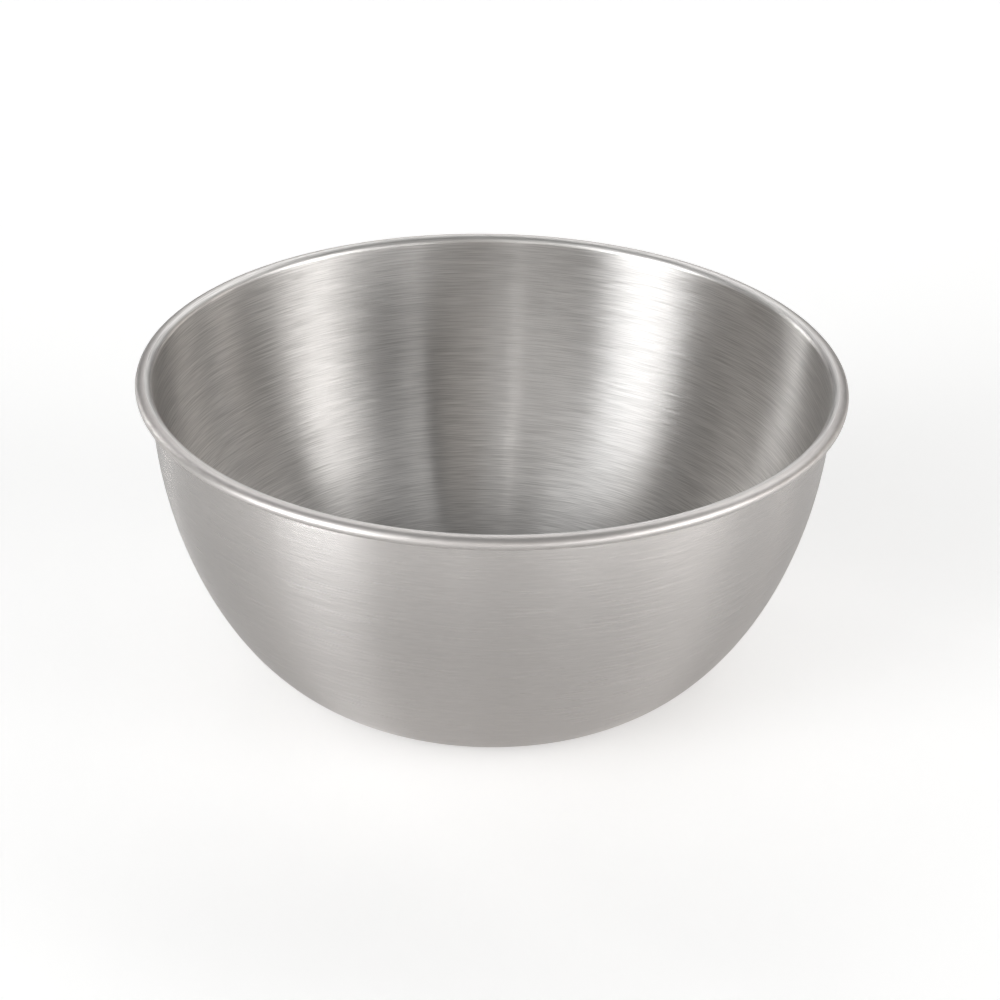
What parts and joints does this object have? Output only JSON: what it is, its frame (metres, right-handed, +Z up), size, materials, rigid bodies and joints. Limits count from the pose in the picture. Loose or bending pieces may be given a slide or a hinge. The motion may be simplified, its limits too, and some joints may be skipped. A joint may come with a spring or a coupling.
{
  "type": "mixing bowl",
  "caption": "Round stainless steel mixing bowl with a deep curved wall, a flat resting ring under the base and a rolled bead rim.",
  "frame": {"origin": "on the bowl's axis, in the plane of the resting ring under the base", "axes": "+Z up along the bowl's axis towards the mouth; the bowl is round, so X and Y are free"},
  "size_m": [0.24, 0.24, 0.11],
  "materials": {
    "bowl_steel": "brushed round the axis inside, satin outside, polished on the bead",
    "wire_steel": "plain drawn wire"
  },
  "bodies": {
    "root": {"bowl_shell": "bowl_steel", "rim_wire": "wire_steel"}
  },
  "joints": []
}
